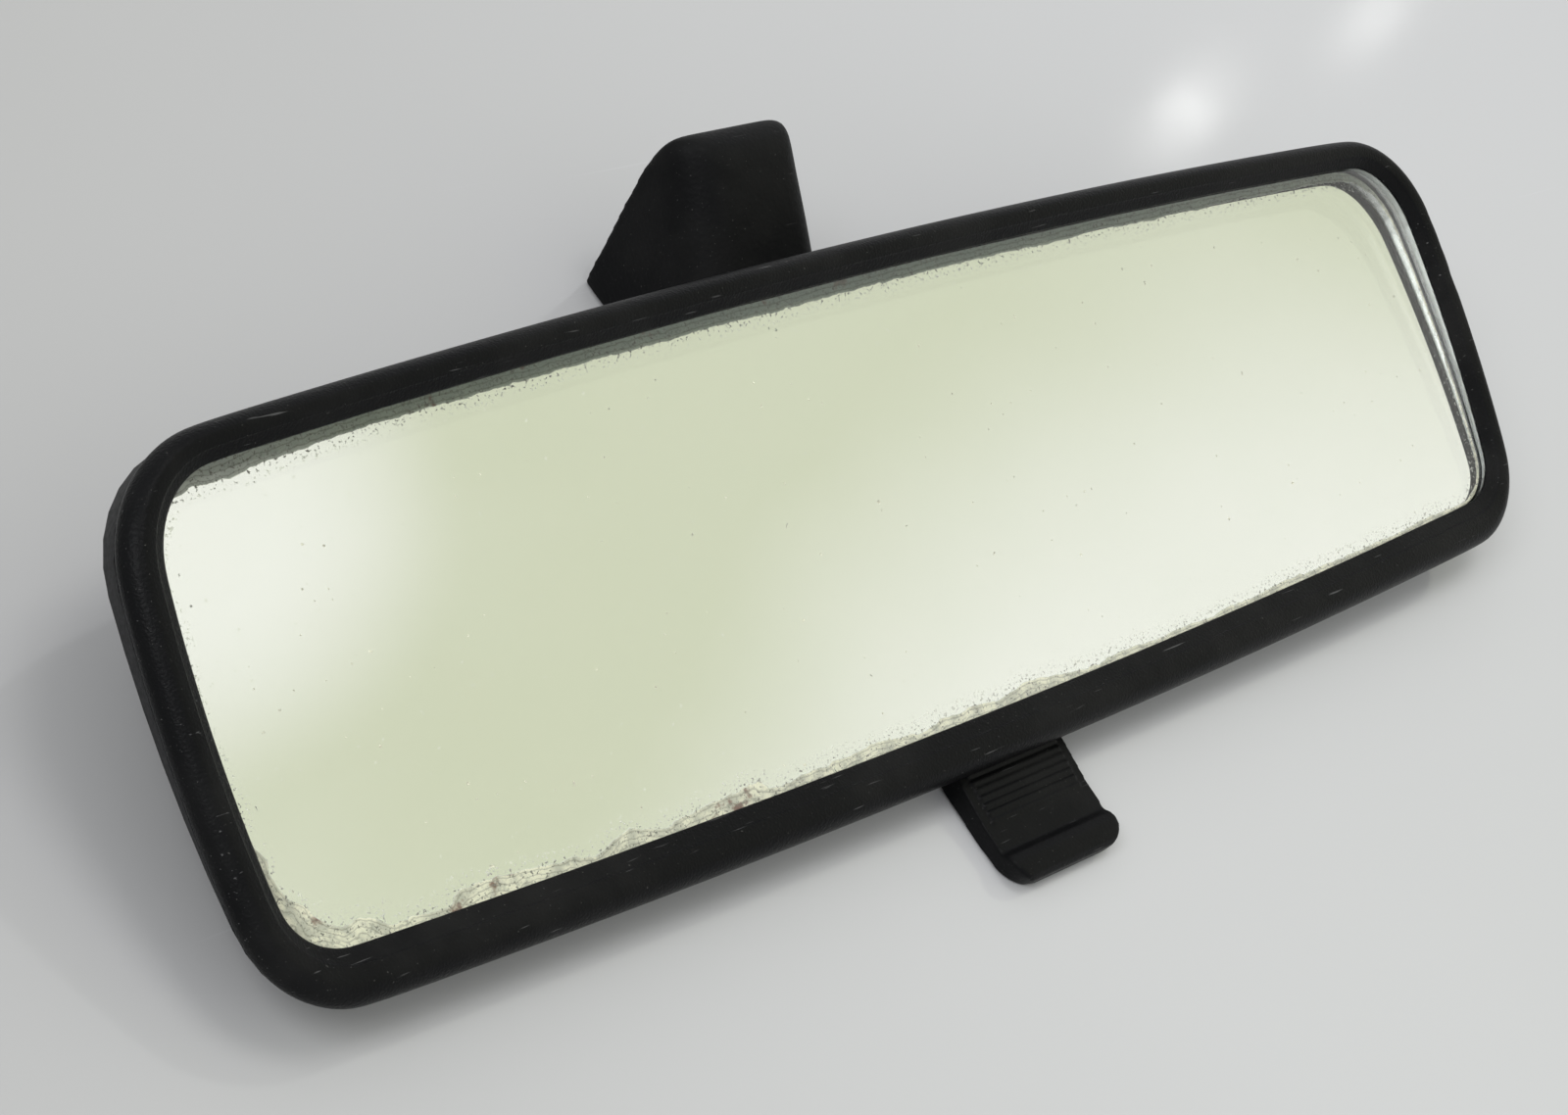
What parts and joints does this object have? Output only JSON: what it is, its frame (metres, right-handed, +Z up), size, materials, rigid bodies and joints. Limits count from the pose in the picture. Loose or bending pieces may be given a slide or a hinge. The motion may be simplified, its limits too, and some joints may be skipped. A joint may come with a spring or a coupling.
{
  "type": "interior rearview mirror",
  "caption": "Interior rearview mirror with a wide barrel-shaped black housing, a wedge day/night glass, a flip tab under the rim and a short ball-jointed foot with a sloping mounting face.",
  "frame": {"origin": "on the surface that the mirror lies on, under the middle of its bounding box", "axes": "+X along the width of the mirror, +Y towards the foot at the top of the head, +Z up from the surface, out of the glass side. The head leans back 67.8 degrees from upright"},
  "size_m": [0.24, 0.0998, 0.0328],
  "materials": {
    "rim_plastic": "satin black with a fine moulded grain",
    "shell_plastic": "grained black, slightly duller than the rim",
    "prism_glass": "clear wedge glass with a faint green body",
    "silvering": "silver with corroded edges",
    "foam_pad": "closed-cell foam",
    "die_casting": "grey die casting",
    "zinc_steel": "zinc plated",
    "bright_steel": "ground and lightly oiled",
    "spring_steel": "blued spring strip",
    "nylon": "natural nylon",
    "rubber_stop": "moulded rubber",
    "lever_plastic": "satin black with a worn end",
    "foot_plastic": "grained black"
  },
  "bodies": {
    "foot": {"foot_arm": "foot_plastic", "ball_stud": "bright_steel", "mount_plate": "die_casting", "mount_screw_1": "zinc_steel", "mount_screw_2": "zinc_steel", "mount_spring": "spring_steel"},
    "rear_liner": {"socket_cup_rear": "nylon"},
    "front_liner": {"socket_cup_front": "nylon"},
    "carrier": {"carrier_bracket": "die_casting", "clamp_plate": "zinc_steel", "clamp_screw_1": "zinc_steel", "clamp_screw_2": "zinc_steel"},
    "head": {"bezel_rim": "rim_plastic", "rear_shell": "shell_plastic", "mirror_glass": "prism_glass", "silver_backing": "silvering", "glass_pad_1": "foam_pad", "glass_pad_2": "foam_pad", "glass_pad_3": "foam_pad", "glass_pad_4": "foam_pad", "tilt_pin": "bright_steel", "tilt_stop_1": "rubber_stop", "tilt_stop_2": "rubber_stop", "lever_pin": "bright_steel", "detent_spring": "spring_steel"},
    "lever": {"day_night_lever": "lever_plastic"}
  },
  "joints": [
    {"name": "ball_yaw", "type": "hinge", "parent": "foot", "child": "rear_liner", "pos_m": [0, 0.01284, 0.01266], "axis": [0, 0.9259, 0.3779], "range_deg": [-15, 15]},
    {"name": "ball_pitch", "type": "hinge", "parent": "rear_liner", "child": "front_liner", "pos_m": [0, 0.01284, 0.01266], "axis": [1, 0, 0], "range_deg": [-12, 5]},
    {"name": "ball_roll", "type": "hinge", "parent": "front_liner", "child": "carrier", "pos_m": [0, 0.01284, 0.01266], "axis": [0, 0.3779, -0.9259], "range_deg": [-5, 5]},
    {"name": "head_tilt", "type": "hinge", "parent": "carrier", "child": "head", "pos_m": [0, 0.0222, 0.02015], "axis": [1, 0, 0], "range_deg": [0, 4]},
    {"name": "lever_flip", "type": "hinge", "parent": "head", "child": "lever", "pos_m": [0, -0.024, 0.00367], "axis": [1, 0, 0], "range_deg": [0, 25]}
  ],
  "couplings": [
    {"joint": "lever_flip", "follows": "head_tilt", "ratio": 6.25}
  ]
}
